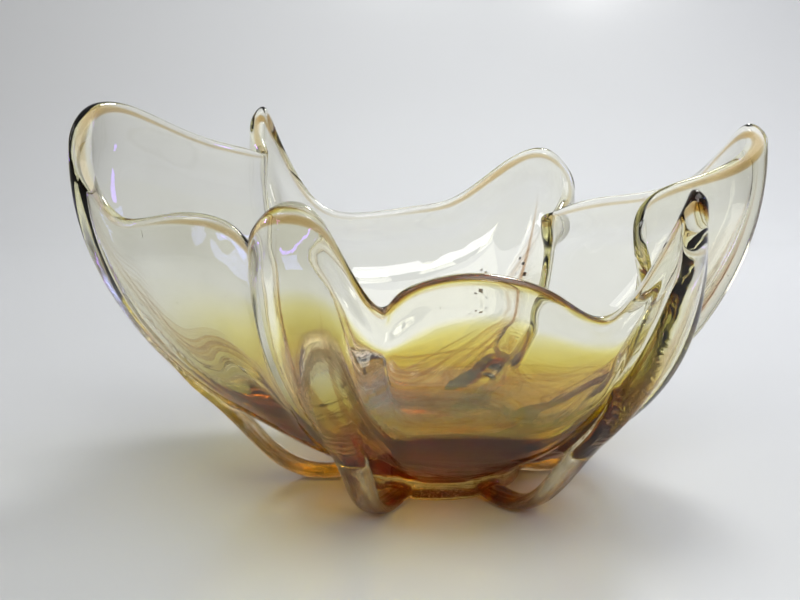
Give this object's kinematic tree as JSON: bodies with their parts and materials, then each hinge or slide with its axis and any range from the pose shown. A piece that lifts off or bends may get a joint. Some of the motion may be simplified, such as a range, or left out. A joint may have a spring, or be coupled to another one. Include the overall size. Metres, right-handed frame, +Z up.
{
  "type": "art glass bowl",
  "caption": "Free-standing lobed glass bowl, clear over amber, with ribs that hug its fins, leave the wall low down and curl under as feet round a base pad.",
  "frame": {"origin": "on the table, at the middle of the base pad's underside", "axes": "+X over the tall right fin, -Y towards the low front of the lip, +Z up"},
  "size_m": [0.3349, 0.2856, 0.1856],
  "materials": {
    "clear_glass": "fire-polished, nearly clear with a pale straw tint",
    "amber_glass": "fire-polished, deep amber with flow streaks",
    "straw_glass": "fire-polished, pale straw with brown streaks"
  },
  "bodies": {
    "root": {"clear_casing": "clear_glass", "amber_lining": "amber_glass", "foot_pad": "amber_glass", "rib_left": "straw_glass", "rib_back_left": "straw_glass", "rib_back": "straw_glass", "rib_right": "straw_glass", "rib_front_right": "straw_glass", "rib_front_left": "straw_glass"}
  },
  "joints": []
}
